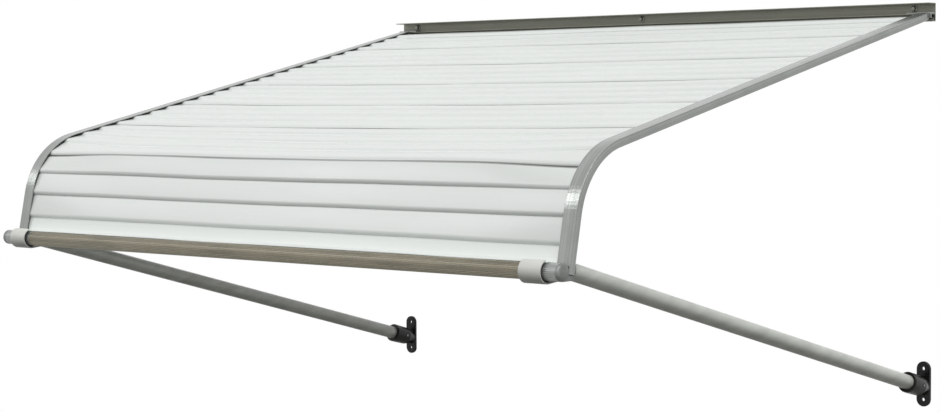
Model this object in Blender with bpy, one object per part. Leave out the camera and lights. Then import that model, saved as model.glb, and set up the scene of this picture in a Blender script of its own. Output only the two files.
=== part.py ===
"""Fixed aluminium door canopy for a 50 inch opening, in metres.

The origin is on the wall, at the middle of the header's back face and at the level of its shelf.
X runs along the wall, the canopy reaches out along -Y, and Z is up.
"""

import math

import bmesh
import bpy
from mathutils import Matrix, Vector

# Clearance between pieces that touch
SEAT = 0.0003

# Header extrusion on the wall
HEADER_LENGTH = 1.270
HEADER_WALL = 0.0016
HEADER_TOP = 0.0182
HEADER_BOTTOM = -0.0138
HEADER_LIP = 0.0254
HEADER_SHELF = 0.0136
BEAD_AXIS_OUT = 0.0100
BEAD_RADIUS = 0.0033
BEAD_BORE = 0.0021
BEAD_MOUTH = math.radians(80)
BEAD_MOUTH_CENTRE = math.radians(130)

# Header screws
HEADER_SCREW_FROM_END = 0.0410
HEADER_SCREW_HEIGHT = 0.0093
SCREW_SHANK_RADIUS = 0.0024
SCREW_HEAD_RADIUS = 0.0042
SCREW_HEAD_HEIGHT = 0.0040
SCREW_FLANGE_RADIUS = 0.0065
SCREW_FLANGE_HEIGHT = 0.0012
SCREW_CHAMFER = 0.0005

# Line that rails and slats follow, measured at the middle depth of the slats
ROOF_START_OUT = 0.0158
ROOF_START_HEIGHT = 0.0011
ROOF_ANGLE = math.radians(13.02)
BEND_RADIUS = 0.1287
BEND_ANGLE = math.radians(65.28)
LEG_LENGTH = 0.0850

# Side rails, channels open towards the middle
RAIL_FROM_HEADER_END = 0.00425
RAIL_WIDTH = 0.0235
RAIL_DEPTH = 0.0125
RAIL_WALL = 0.0014
RAIL_CORNER = 0.0009
RAIL_COVER = 0.0040
BEND_STEPS = 26

# Slat panels
PANEL_COUNT = 7
SLATS_PER_PANEL = 4
SLAT_PITCH = 0.04075
SLATS_FROM = -0.0020
SLATS_LEVEL_FROM = 0.0035
SLATS_PAST_LEG = 0.0011
SHEET = 0.0008
SLAT_STEP = 0.0040
SLAT_END_PLAY = 0.0023
CURL_TURN = math.radians(60)
CURL_STEPS = 6
JOINT_GAP = 0.0018
TONGUE_LENGTH = 0.0048
TONGUE_TURN = 0.0012
TONGUE_DROP = 0.0025
HOOK_TURN = 0.0009
FLARE_START = 0.0190
HEM_ANGLE = math.radians(100)
HEM_PULL_DOWN = 0.0110
HEM_PULL_BACK = 0.0120
BEAD_CURL_PLAY = 0.0004
BEAD_STRIP_REACH = 0.0072

# Front bar with flutes
BAR_RADIUS = 0.0125
BAR_BORE = 0.0108
BAR_AHEAD = 0.0165
BAR_PAST_RAIL = 0.0022
BAR_ABOVE_LEG_END = 0.0031
FLUTE_COUNT = 28
FLUTE_DEPTH = 0.0006
FLUTE_SHARES = ((0.00, 0.0), (0.34, 0.0), (0.50, 1.0), (0.84, 1.0))
CAP_RIM = 0.0040
CAP_DOME = 0.0045
CAP_SPIGOT = 0.0180

# White clamps on the front bar
CLAMP_WIDTH = 0.0405
CLAMP_FROM_RAIL = 0.0004
CLAMP_RADIUS = 0.0176
CLAMP_WALL = 0.0020
CLAMP_TOP_ANGLE = math.radians(105)
CLAMP_TAIL = 0.0290
CLAMP_TAIL_RISE = 0.0030
LINER_RECESS = 0.0030
LINER_START = math.radians(118)
LINER_END = math.radians(292)

# Support arms
ARM_INSET = 0.0015
ARM_RADIUS = 0.0127
ARM_WALL = 0.0016
ARM_ANGLE = math.radians(15.18)
ARM_ABOVE_LEG_END = 0.0066

# Corner castings behind the front bar
CASTING_WIDTH = 0.0190
CASTING_SADDLE_TOP = math.radians(38)
CASTING_SADDLE_BOTTOM = math.radians(-70)
CASTING_FLOOR = 0.0015
CASTING_FLANGE = 0.0025
CASTING_SPIGOT = 0.0300
CASTING_PLAY = 0.0004

# Wall brackets
PLATE_HEIGHT = 0.0800
PLATE_WIDTH = 0.0265
PLATE_THICKNESS = 0.0055
PLATE_ABOVE_ARM = 0.0072
PLATE_HOLE_RADIUS = 0.0032
PLATE_HOLE_SPACING = 0.0550
PLATE_CHAMFER = 0.0010
SOCKET_RADIUS = 0.0184
SOCKET_ROOT_RADIUS = 0.0129
SOCKET_REACH = 0.0620
SOCKET_SEAT_DEPTH = 0.0130
SOCKET_ROOT_LENGTH = 0.0045
SOCKET_TAPER_END = 0.0250
SOCKET_BEAD_START = 0.0500
SOCKET_BEAD = 0.0008
SOCKET_EDGE = 0.0010
SET_SCREW_RADIUS = 0.0022
SET_SCREW_FROM_WALL = 0.0345
TAPPED_HOLE_INSET = 0.0020

# Clips that hang the rails on the header
CLIP_WIDTH = 0.0480
CLIP_WALL = 0.0016
CLIP_DROP = 0.0080
CLIP_LEAF = 0.0260
CLIP_TIP_TOP = 0.0010
CLIP_TIP_FOOT = 0.0050
RIVET_RADIUS = 0.0016
RIVET_HEAD_RADIUS = 0.0030
RIVET_HEAD_HEIGHT = 0.0010
RIVET_CROWN_RADIUS = 0.0018
RIVET_FROM_CLIP_END = 0.0075

ROUND_SEGMENTS = 32
SMALL_SEGMENTS = 16
CAP_DOME_STEPS = 5

FINISHES = {
    "mill_aluminium": ((0.47, 0.48, 0.47), 1.0, 0.32),
    "bronze_aluminium": ((0.20, 0.18, 0.14), 0.9, 0.38),
    "white_enamel": ((0.72, 0.74, 0.72), 0.0, 0.35),
    "white_vinyl": ((0.70, 0.70, 0.67), 0.0, 0.45),
    "black_casting": ((0.012, 0.012, 0.011), 0.2, 0.40),
    "grey_casting": ((0.33, 0.34, 0.33), 0.9, 0.42),
    "zinc_screw": ((0.55, 0.55, 0.53), 1.0, 0.30),
    "black_rubber": ((0.015, 0.015, 0.014), 0.0, 0.75),
}


def clear_scene():
    """Remove every object that the scene starts with."""
    for obj in list(bpy.data.objects):
        bpy.data.objects.remove(obj, do_unlink=True)


def finish(name):
    """The Principled BSDF material of one finish, made once."""
    material = bpy.data.materials.get(name)
    if material:
        return material
    colour, metallic, roughness = FINISHES[name]
    material = bpy.data.materials.new(name)
    material.use_nodes = True
    shader = material.node_tree.nodes["Principled BSDF"]
    shader.inputs["Base Color"].default_value = (*colour, 1.0)
    shader.inputs["Metallic"].default_value = metallic
    shader.inputs["Roughness"].default_value = roughness
    material.diffuse_color = (*colour, 1.0)
    return material


def object_from(bm, name, finish_name, matrix=None):
    """Turn a bmesh into a scene object with smooth round faces."""
    mesh = bpy.data.meshes.new(name)
    bm.normal_update()
    bm.to_mesh(mesh)
    bm.free()
    mesh.shade_smooth()
    mesh.set_sharp_from_angle(angle=math.radians(35))
    mesh.materials.append(finish(finish_name))
    obj = bpy.data.objects.new(name, mesh)
    bpy.context.scene.collection.objects.link(obj)
    if matrix is not None:
        obj.matrix_world = matrix
    return obj


def cutter_from(bm, name, matrix=None):
    """A helper solid that takes part in Booleans only."""
    cutter = object_from(bm, name, "mill_aluminium", matrix)
    cutter.hide_render = True
    cutter.display_type = "WIRE"
    return cutter


def boolean(obj, other, operation):
    """Add an exact Boolean with another object."""
    modifier = obj.modifiers.new(operation.title(), "BOOLEAN")
    modifier.operation = operation
    modifier.solver = "EXACT"
    modifier.object = other


def arc(centre, radius, start, end, steps):
    """Points of an arc in the YZ plane, angles counted from +Y towards +Z."""
    points = []
    for step in range(steps + 1):
        angle = start + (end - start) * step / steps
        points.append(centre + radius * Vector((math.cos(angle), math.sin(angle))))
    return points


def extruded_bmesh(outline, x_from, x_to):
    """A closed YZ outline drawn out along X."""
    bm = bmesh.new()
    verts = [bm.verts.new((x_from, point[0], point[1])) for point in outline]
    face = bm.faces.new(verts)
    grown = bmesh.ops.extrude_face_region(bm, geom=[face])
    moved = [item for item in grown["geom"] if isinstance(item, bmesh.types.BMVert)]
    bmesh.ops.translate(bm, verts=moved, vec=(x_to - x_from, 0.0, 0.0))
    bmesh.ops.recalc_face_normals(bm, faces=bm.faces)
    return bm


def turned_bmesh(profile, segments):
    """A closed profile of (radius, height) points turned about Z."""
    bm = bmesh.new()
    verts = [bm.verts.new((radius, 0.0, height)) for radius, height in profile]
    edges = [bm.edges.new((verts[i - 1], verts[i])) for i in range(len(verts))]
    bmesh.ops.spin(
        bm,
        geom=verts + edges,
        cent=(0.0, 0.0, 0.0),
        axis=(0.0, 0.0, 1.0),
        angle=2.0 * math.pi,
        steps=segments,
        use_merge=True,
    )
    bmesh.ops.remove_doubles(bm, verts=bm.verts, dist=1e-6)
    bmesh.ops.dissolve_degenerate(bm, edges=bm.edges, dist=1e-7)
    bmesh.ops.recalc_face_normals(bm, faces=bm.faces)
    return bm


def disc_bmesh(radius, length, segments):
    """A plain round bar from the origin up along Z."""
    return turned_bmesh([(0.0, 0.0), (radius, 0.0), (radius, length), (0.0, length)], segments)


def aim_matrix(origin, direction):
    """Place a solid made along Z at a point, with Z along a direction."""
    turn = Vector((0.0, 0.0, 1.0)).rotation_difference(Vector(direction).normalized())
    return Matrix.Translation(Vector(origin)) @ turn.to_matrix().to_4x4()


class RoofLine:
    """The bent line that the rails follow and the slats lie along."""

    def __init__(self):
        self.start = Vector((-ROOF_START_OUT, ROOF_START_HEIGHT))
        self.start -= RAIL_COVER * Vector((0.0, 1.0 / math.cos(ROOF_ANGLE)))
        self.length = SLOPE_LENGTH + BEND_LENGTH + LEG_LENGTH
        slope_end = self.start + SLOPE_LENGTH * self.heading(0.0)
        self.bend_centre = slope_end - BEND_RADIUS * self.outward(0.0)

    def heading(self, turned):
        """Direction of travel after turning down by an angle."""
        angle = ROOF_ANGLE + turned
        return Vector((-math.cos(angle), -math.sin(angle)))

    def outward(self, turned):
        """Direction away from the shelter, square to the line."""
        angle = ROOF_ANGLE + turned
        return Vector((-math.sin(angle), math.cos(angle)))

    def turned_at(self, travel):
        """How far the line has turned at a distance from its start."""
        return min(max((travel - SLOPE_LENGTH) / BEND_RADIUS, 0.0), BEND_ANGLE)

    def point(self, travel, height):
        """The YZ point at a distance along the line and a height off it."""
        turned = self.turned_at(travel)
        if turned == 0.0:
            base = self.start + travel * self.heading(0.0)
        else:
            base = self.bend_centre + BEND_RADIUS * self.outward(turned)
            past_bend = max(travel - SLOPE_LENGTH - BEND_LENGTH, 0.0)
            base = base + past_bend * self.heading(turned)
        return base + height * self.outward(turned)


SLATS_LENGTH = PANEL_COUNT * SLATS_PER_PANEL * SLAT_PITCH
BEND_LENGTH = BEND_RADIUS * BEND_ANGLE
SLOPE_LENGTH = SLATS_FROM + SLATS_LENGTH - SLATS_PAST_LEG - BEND_LENGTH - LEG_LENGTH
LINE = RoofLine()
RAIL_TOP = RAIL_COVER
RAIL_SPREAD = HEADER_LENGTH / 2 - RAIL_FROM_HEADER_END - RAIL_WIDTH / 2
SLAT_PROUD = RAIL_TOP - RAIL_WALL - SEAT - SHEET / 2
SLAT_TUCKED = SLAT_PROUD - SLAT_STEP
CURL_RADIUS = SLAT_STEP / (1.0 - math.cos(CURL_TURN))
CURL_LENGTH = CURL_RADIUS * math.sin(CURL_TURN)
BAR_AXIS = LINE.point(LINE.length, RAIL_TOP) + Vector((-BAR_AHEAD, BAR_ABOVE_LEG_END))
RAIL_OUTER = RAIL_SPREAD + RAIL_WIDTH / 2
RAIL_INNER = RAIL_SPREAD - RAIL_WIDTH / 2
CLAMP_SPREAD = RAIL_INNER - CLAMP_FROM_RAIL - CLAMP_WIDTH / 2
HEADER_SCREW_SPREAD = HEADER_LENGTH / 2 - HEADER_SCREW_FROM_END
LEG_BACK = LINE.point(LINE.length, RAIL_TOP - RAIL_DEPTH)
ARM_SPREAD = RAIL_SPREAD - ARM_INSET
ARM_DROP_AT_WALL = -LEG_BACK.x * math.tan(ARM_ANGLE) - LEG_BACK.y - ARM_ABOVE_LEG_END
ARM_AXIS = Vector((-math.cos(ARM_ANGLE), math.sin(ARM_ANGLE)))
BEAD_AXIS = Vector((-BEAD_AXIS_OUT, HEADER_BOTTOM + BEAD_RADIUS))


def arm_point(distance_from_wall):
    """YZ point on the arm's axis at a horizontal distance from the wall."""
    rise = distance_from_wall * math.tan(ARM_ANGLE)
    return Vector((-distance_from_wall, rise - ARM_DROP_AT_WALL))


def header_outline():
    """Section of the header: web, top lip, shelf and open bead."""
    wall = HEADER_WALL
    open_from = BEAD_MOUTH_CENTRE - BEAD_MOUTH / 2
    open_to = BEAD_MOUTH_CENTRE + BEAD_MOUTH / 2
    flange_top = HEADER_BOTTOM + wall
    root = math.asin((flange_top - BEAD_AXIS.y) / BEAD_RADIUS)
    outline = [
        Vector((0.0, HEADER_BOTTOM)),
        Vector((0.0, HEADER_TOP)),
        Vector((-HEADER_LIP, HEADER_TOP)),
        Vector((-HEADER_LIP, HEADER_TOP - wall)),
        Vector((-wall, HEADER_TOP - wall)),
        Vector((-wall, 0.0)),
        Vector((-HEADER_SHELF, 0.0)),
        Vector((-HEADER_SHELF, -wall)),
        Vector((-wall, -wall)),
        Vector((-wall, flange_top)),
    ]
    outline += arc(BEAD_AXIS, BEAD_RADIUS, root, open_from, 8)
    outline += arc(BEAD_AXIS, BEAD_BORE, open_from, open_to - 2.0 * math.pi, 14)
    outline += arc(BEAD_AXIS, BEAD_RADIUS, open_to, 1.5 * math.pi, 7)
    return outline


def screw_places():
    return {"left": -HEADER_SCREW_SPREAD, "middle": 0.0, "right": HEADER_SCREW_SPREAD}


def clip_rivet_place(side):
    """Middle of the clip's leaf on the shelf."""
    x = side * (HEADER_LENGTH / 2 - SEAT - CLIP_WIDTH + RIVET_FROM_CLIP_END)
    return Vector((x, -(HEADER_WALL + HEADER_SHELF) / 2, 0.0))


def make_header():
    bm = extruded_bmesh(header_outline(), -HEADER_LENGTH / 2, HEADER_LENGTH / 2)
    header = object_from(bm, "wall_header", "bronze_aluminium")
    for name, x in screw_places().items():
        hole = disc_bmesh(SCREW_SHANK_RADIUS + SEAT, 2 * HEADER_WALL, SMALL_SEGMENTS)
        place = aim_matrix((x, -1.5 * HEADER_WALL, HEADER_SCREW_HEIGHT), (0.0, 1.0, 0.0))
        boolean(header, cutter_from(hole, "screw_hole_" + name, place), "DIFFERENCE")
    for side, word in ((-1, "left"), (1, "right")):
        hole = disc_bmesh(RIVET_RADIUS + SEAT, 2 * HEADER_WALL, SMALL_SEGMENTS)
        place = Matrix.Translation(clip_rivet_place(side) - Vector((0, 0, 1.5 * HEADER_WALL)))
        boolean(header, cutter_from(hole, "rivet_hole_" + word, place), "DIFFERENCE")


def make_header_screws():
    """Hex screws with a washer face, their shanks ending at the wall."""
    for word, x in screw_places().items():
        head_at = HEADER_WALL + SEAT
        profile = [
            (0.0, 0.0),
            (SCREW_SHANK_RADIUS, 0.0),
            (SCREW_SHANK_RADIUS, head_at),
            (SCREW_FLANGE_RADIUS, head_at),
            (SCREW_FLANGE_RADIUS, head_at + SCREW_FLANGE_HEIGHT / 2),
            (SCREW_HEAD_RADIUS, head_at + SCREW_FLANGE_HEIGHT),
            (0.0, head_at + SCREW_FLANGE_HEIGHT),
        ]
        place = aim_matrix((x, 0.0, HEADER_SCREW_HEIGHT), (0.0, -1.0, 0.0))
        bm = turned_bmesh(profile, SMALL_SEGMENTS)
        screw = object_from(bm, "header_screw_" + word, "zinc_screw", place)
        hexagon = disc_bmesh(SCREW_HEAD_RADIUS, SCREW_HEAD_HEIGHT, 6)
        rim = [edge for edge in hexagon.edges if min(v.co.z for v in edge.verts) > 0.0]
        rim = [edge for edge in rim if edge.calc_face_angle(0.0) > 1.0]
        bmesh.ops.bevel(hexagon, geom=rim, offset=SCREW_CHAMFER, segments=1, affect="EDGES")
        lift = Matrix.Translation((0.0, 0.0, head_at + SCREW_FLANGE_HEIGHT / 2))
        boolean(screw, cutter_from(hexagon, "screw_hexagon_" + word, place @ lift), "UNION")


def rail_section():
    """Channel section as (offset towards the outside, height) points."""
    half = RAIL_WIDTH / 2
    top = RAIL_TOP
    bottom = RAIL_TOP - RAIL_DEPTH
    r = RAIL_CORNER
    quarter = math.pi / 2
    points = [Vector((-half, top - RAIL_WALL)), Vector((-half, top))]
    points += arc(Vector((half - r, top - r)), r, quarter, 0.0, 3)
    points += arc(Vector((half - r, bottom + r)), r, 0.0, -quarter, 3)
    points += [
        Vector((-half, bottom)),
        Vector((-half, bottom + RAIL_WALL)),
        Vector((half - RAIL_WALL, bottom + RAIL_WALL)),
        Vector((half - RAIL_WALL, top - RAIL_WALL)),
    ]
    return points


def make_rails():
    """Channels extruded down the slope, spun round the bend and drawn down the front."""
    for side, word in ((-1, "left"), (1, "right")):
        bm = bmesh.new()
        base = []
        for across, height in rail_section():
            spot = LINE.point(-height * math.tan(ROOF_ANGLE), height)
            base.append(bm.verts.new((side * (RAIL_SPREAD + across), spot.x, spot.y)))
        face = bm.faces.new(base)
        grown = bmesh.ops.extrude_face_region(bm, geom=[face])["geom"]
        cap = next(item for item in grown if isinstance(item, bmesh.types.BMFace))
        for vert in cap.verts:
            height = (Vector((vert.co.y, vert.co.z)) - LINE.start).dot(LINE.outward(0.0))
            spot = LINE.point(SLOPE_LENGTH, height)
            vert.co.y = spot.x
            vert.co.z = spot.y
        centre = LINE.bend_centre
        spun = bmesh.ops.spin(
            bm,
            geom=[cap, *cap.edges, *cap.verts],
            cent=(0.0, centre.x, centre.y),
            axis=(1.0, 0.0, 0.0),
            angle=BEND_ANGLE,
            steps=BEND_STEPS,
        )["geom_last"]
        last = next(item for item in spun if isinstance(item, bmesh.types.BMFace))
        grown = bmesh.ops.extrude_face_region(bm, geom=[last])["geom"]
        moved = [item for item in grown if isinstance(item, bmesh.types.BMVert)]
        drop = LEG_LENGTH * LINE.heading(BEND_ANGLE)
        bmesh.ops.translate(bm, verts=moved, vec=(0.0, drop.x, drop.y))
        bmesh.ops.delete(bm, geom=[last], context="FACES_ONLY")
        bmesh.ops.recalc_face_normals(bm, faces=bm.faces)
        object_from(bm, "side_rail_" + word, "mill_aluminium")


def joint_travel(index):
    """Distance along the roof line of the joint below panel number index."""
    return SLATS_FROM + index * SLATS_PER_PANEL * SLAT_PITCH


def header_hook():
    """Curl inside the header's bead and the strip that leaves it."""
    leave = Vector((math.cos(BEAD_MOUTH_CENTRE), math.sin(BEAD_MOUTH_CENTRE)))
    curl_radius = BEAD_BORE - BEAD_CURL_PLAY - SHEET / 2
    start = BEAD_MOUTH_CENTRE + math.radians(270)
    points = arc(BEAD_AXIS, curl_radius, start, BEAD_MOUTH_CENTRE, 9)
    points.append(BEAD_AXIS + BEAD_STRIP_REACH * leave)
    return points


def hook_points(joint):
    """Upper edge of a panel, wrapped round the tongue of the panel above."""
    tongue = SLAT_TUCKED - TONGUE_DROP
    spacing = SHEET + SEAT
    under = tongue - spacing
    over = tongue + spacing
    leg = joint + spacing + JOINT_GAP
    end = joint - TONGUE_TURN - TONGUE_LENGTH
    local = [Vector((joint - TONGUE_TURN - SHEET, over))]
    turn_centre = Vector((end - SHEET / 2, tongue))
    local += arc(turn_centre, spacing, math.radians(90), math.radians(270), 6)
    corner = Vector((leg - HOOK_TURN, under + HOOK_TURN))
    local += arc(corner, HOOK_TURN, math.radians(270), math.radians(360), 3)
    local.append(Vector((leg, SLAT_TUCKED)))
    return [LINE.point(spot.x, spot.y) for spot in local]


def slat_points(end, last_in_panel):
    """Flat face rising down the slope and the curl at its lower edge."""
    centre = Vector((end - CURL_LENGTH, SLAT_PROUD - CURL_RADIUS))
    top = math.pi / 2
    local = arc(centre, CURL_RADIUS, top, top - CURL_TURN, CURL_STEPS)
    if last_in_panel:
        tongue = SLAT_TUCKED - TONGUE_DROP
        turn_centre = Vector((end - TONGUE_TURN, tongue + TONGUE_TURN))
        local += arc(turn_centre, TONGUE_TURN, 0.0, math.radians(-90), 3)
        local.append(Vector((end - TONGUE_TURN - TONGUE_LENGTH, tongue)))
    return [LINE.point(spot.x, spot.y) for spot in local]


def bezier(p0, p1, p2, p3, steps):
    """Points of a cubic curve after its first point."""
    points = []
    for step in range(1, steps + 1):
        t = step / steps
        u = 1.0 - t
        points.append(u**3 * p0 + 3 * u * u * t * p1 + 3 * u * t * t * p2 + t**3 * p3)
    return points


def hem_points(start):
    """Last slat, flared forward to rest on the front bar."""
    leave_at = start + FLARE_START
    rise = FLARE_START / SLAT_PITCH * SLAT_STEP
    leave = LINE.point(leave_at, SLAT_TUCKED + rise)
    rest = BAR_RADIUS + SEAT + SHEET / 2
    hem = BAR_AXIS + rest * Vector((math.cos(HEM_ANGLE), math.sin(HEM_ANGLE)))
    down = LINE.heading(BEND_ANGLE)
    back = Vector((math.sin(HEM_ANGLE), -math.cos(HEM_ANGLE)))
    points = [leave]
    points += bezier(leave, leave + HEM_PULL_DOWN * down, hem + HEM_PULL_BACK * back, hem, 8)
    return points


def panel_line(index):
    """YZ centre line of a panel, how many points are narrow at its start and at its end."""
    top = joint_travel(index - 1)
    if index == 1:
        points = header_hook()
        narrow_start = len(points)
        points.append(LINE.point(SLATS_LEVEL_FROM, SLAT_TUCKED))
    else:
        points = hook_points(top)
        narrow_start = 0
    for slat in range(1, SLATS_PER_PANEL + 1):
        end = top + slat * SLAT_PITCH
        if index == PANEL_COUNT and slat == SLATS_PER_PANEL:
            hem = hem_points(end - SLAT_PITCH)
            points += hem
            return points, narrow_start, len(hem) - 1
        points += slat_points(end, slat == SLATS_PER_PANEL)
    return points, narrow_start, 0


def make_panels():
    """Roll-formed strips of four slats with their ends inside the rails."""
    wide = RAIL_OUTER - RAIL_WALL - SLAT_END_PLAY
    narrow = RAIL_INNER - 2 * SEAT
    for index in range(1, PANEL_COUNT + 1):
        points, narrow_start, narrow_end = panel_line(index)
        columns = (-wide, wide)
        if narrow_start or narrow_end:
            columns = (-wide, -narrow, narrow, wide)
        bm = bmesh.new()
        grid = [[bm.verts.new((x, p.x, p.y)) for x in columns] for p in points]
        last = len(points) - 1
        for row in range(last):
            slim = row < narrow_start or row >= last - narrow_end
            for column in range(len(columns) - 1):
                if slim and column != 1:
                    continue
                low, high = grid[row], grid[row + 1]
                bm.faces.new((low[column], low[column + 1], high[column + 1], high[column]))
        loose = [vert for vert in bm.verts if not vert.link_faces]
        bmesh.ops.delete(bm, geom=loose, context="VERTS")
        panel = object_from(bm, "slat_panel_%d" % index, "white_enamel")
        solidify = panel.modifiers.new("Sheet", "SOLIDIFY")
        solidify.thickness = SHEET
        solidify.offset = 0.0
        solidify.use_even_offset = True


def fluted_outline():
    """Section of the front bar: a ring of shallow flutes."""
    outline = []
    for flute in range(FLUTE_COUNT):
        for share, depth in FLUTE_SHARES:
            angle = 2 * math.pi * (flute + share) / FLUTE_COUNT
            radius = BAR_RADIUS - depth * FLUTE_DEPTH
            outline.append((radius, angle))
    return outline


def make_front_bar():
    """Fluted tube between the two end caps."""
    half = RAIL_OUTER + BAR_PAST_RAIL - CAP_RIM - SEAT
    bm = bmesh.new()
    rings = []
    for x in (-half, half):
        outer = []
        inner = []
        for radius, angle in fluted_outline():
            way = Vector((0.0, math.cos(angle), math.sin(angle)))
            centre = Vector((x, BAR_AXIS.x, BAR_AXIS.y))
            outer.append(bm.verts.new(centre + radius * way))
            inner.append(bm.verts.new(centre + BAR_BORE * way))
        rings.append((outer, inner))
    count = len(rings[0][0])
    for i in range(count):
        j = (i + 1) % count
        (outer_a, inner_a), (outer_b, inner_b) = rings
        bm.faces.new((outer_a[i], outer_a[j], outer_b[j], outer_b[i]))
        bm.faces.new((inner_a[i], inner_b[i], inner_b[j], inner_a[j]))
        bm.faces.new((outer_a[i], inner_a[i], inner_a[j], outer_a[j]))
        bm.faces.new((outer_b[i], outer_b[j], inner_b[j], inner_b[i]))
    bmesh.ops.recalc_face_normals(bm, faces=bm.faces)
    object_from(bm, "front_bar", "bronze_aluminium")


def make_bar_caps():
    """Domed plugs with a rim as wide as the bar and a spigot in its bore."""
    for side, word in ((-1, "left"), (1, "right")):
        profile = []
        for step in range(CAP_DOME_STEPS + 1):
            angle = math.pi / 2 * step / CAP_DOME_STEPS
            profile.append((BAR_RADIUS * math.sin(angle), -CAP_DOME * math.cos(angle)))
        profile += [
            (BAR_RADIUS, CAP_RIM),
            (BAR_BORE - SEAT, CAP_RIM),
            (BAR_BORE - SEAT, CAP_RIM + CAP_SPIGOT),
            (0.0, CAP_RIM + CAP_SPIGOT),
        ]
        bm = turned_bmesh(profile, ROUND_SEGMENTS)
        rim = side * (RAIL_OUTER + BAR_PAST_RAIL)
        place = aim_matrix((rim, BAR_AXIS.x, BAR_AXIS.y), (-side, 0.0, 0.0))
        object_from(bm, "bar_cap_" + word, "grey_casting", place)


def make_clamps():
    """White bands round the bar with a lower tail, and the rubber liners inside them."""
    outer = CLAMP_RADIUS
    inner = CLAMP_RADIUS - CLAMP_WALL
    bottom = math.radians(270)
    tail_end = BAR_AXIS + Vector((CLAMP_TAIL, -outer + CLAMP_TAIL_RISE))
    outline = arc(BAR_AXIS, outer, CLAMP_TOP_ANGLE, bottom, 22)
    outline += [tail_end, tail_end + Vector((0.0, CLAMP_WALL))]
    outline += arc(BAR_AXIS, inner, bottom, CLAMP_TOP_ANGLE, 22)
    liner_outer = inner - SEAT
    liner_inner = BAR_RADIUS + SEAT
    liner = arc(BAR_AXIS, liner_outer, LINER_START, LINER_END, 16)
    liner += arc(BAR_AXIS, liner_inner, LINER_END, LINER_START, 16)
    for side, word in ((-1, "left"), (1, "right")):
        middle = side * CLAMP_SPREAD
        half = CLAMP_WIDTH / 2
        bm = extruded_bmesh(outline, middle - half, middle + half)
        object_from(bm, "bar_clamp_" + word, "white_vinyl")
        half -= LINER_RECESS
        bm = extruded_bmesh(liner, middle - half, middle + half)
        object_from(bm, "clamp_liner_" + word, "black_rubber")


def casting_flange_point():
    """Where the arm's axis meets the front of the casting's flange, just behind the leg."""
    lean = abs(ARM_ABOVE_LEG_END) * math.tan(ARM_ANGLE)
    return arm_point(-LEG_BACK.x - SEAT - lean - CASTING_PLAY)


def make_castings():
    """Cradles round the legs' ends with a saddle on the bar and a spigot in the arm."""
    front = LINE.point(LINE.length + SEAT, RAIL_TOP + SEAT)
    back = LINE.point(LINE.length + SEAT, RAIL_TOP - RAIL_DEPTH - SEAT)
    up = -LINE.heading(BEND_ANGLE)
    saddle = arc(
        BAR_AXIS, BAR_RADIUS + SEAT, CASTING_SADDLE_TOP, CASTING_SADDLE_BOTTOM, 10
    )
    flange = casting_flange_point()
    floor = saddle[-1].y - CASTING_FLOOR
    plane = flange - CASTING_FLANGE / 2 * ARM_AXIS
    slant = math.tan(ARM_ANGLE)
    outline = saddle + [
        Vector((saddle[-1].x, floor)),
        Vector((plane.x + (floor - plane.y) * slant, floor)),
        Vector((plane.x + (back.y - plane.y) * slant, back.y)),
        back,
        front,
        front + (saddle[0].y - front.y) / up.y * up,
    ]
    for side, word in ((-1, "left"), (1, "right")):
        middle = side * RAIL_SPREAD
        half = CASTING_WIDTH / 2
        bm = extruded_bmesh(outline, middle - half, middle + half)
        casting = object_from(bm, "corner_casting_" + word, "grey_casting")
        profile = [
            (0.0, 0.0),
            (ARM_RADIUS, 0.0),
            (ARM_RADIUS, CASTING_FLANGE),
            (ARM_RADIUS - ARM_WALL - SEAT, CASTING_FLANGE),
            (ARM_RADIUS - ARM_WALL - SEAT, CASTING_FLANGE + CASTING_SPIGOT),
            (0.0, CASTING_FLANGE + CASTING_SPIGOT),
        ]
        origin = (side * ARM_SPREAD, flange.x, flange.y)
        place = aim_matrix(origin, (0.0, -ARM_AXIS.x, -ARM_AXIS.y))
        spigot = turned_bmesh(profile, ROUND_SEGMENTS)
        boolean(casting, cutter_from(spigot, "casting_spigot_" + word, place), "UNION")


def make_arms():
    """Round tubes from the castings down to the brackets."""
    wall_end = arm_point(SOCKET_SEAT_DEPTH + SEAT)
    front_end = casting_flange_point() - (CASTING_FLANGE + SEAT) * ARM_AXIS
    length = (front_end - wall_end).length
    bore = ARM_RADIUS - ARM_WALL
    profile = [(bore, 0.0), (ARM_RADIUS, 0.0), (ARM_RADIUS, length), (bore, length)]
    for side, word in ((-1, "left"), (1, "right")):
        bm = turned_bmesh(profile, ROUND_SEGMENTS)
        origin = (side * ARM_SPREAD, wall_end.x, wall_end.y)
        place = aim_matrix(origin, (0.0, ARM_AXIS.x, ARM_AXIS.y))
        object_from(bm, "support_arm_" + word, "mill_aluminium", place)


def plate_middle():
    return PLATE_ABOVE_ARM - ARM_DROP_AT_WALL


def plate_bmesh(x):
    """Round-ended plate with a chamfered front."""
    radius = PLATE_WIDTH / 2
    reach = PLATE_HEIGHT / 2 - radius
    middle = plate_middle()
    bm = bmesh.new()
    verts = []
    for centre, start in ((middle + reach, 0.0), (middle - reach, math.pi)):
        for step in range(SMALL_SEGMENTS + 1):
            angle = start + math.pi * step / SMALL_SEGMENTS
            spot = (x + radius * math.cos(angle), 0.0, centre + radius * math.sin(angle))
            verts.append(bm.verts.new(spot))
    face = bm.faces.new(verts)
    grown = bmesh.ops.extrude_face_region(bm, geom=[face])["geom"]
    moved = [item for item in grown if isinstance(item, bmesh.types.BMVert)]
    bmesh.ops.translate(bm, verts=moved, vec=(0.0, -PLATE_THICKNESS, 0.0))
    front = next(item for item in grown if isinstance(item, bmesh.types.BMFace))
    bmesh.ops.bevel(
        bm, geom=list(front.edges), offset=PLATE_CHAMFER, segments=2, profile=0.5,
        affect="EDGES",
    )
    bmesh.ops.recalc_face_normals(bm, faces=bm.faces)
    return bm


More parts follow.
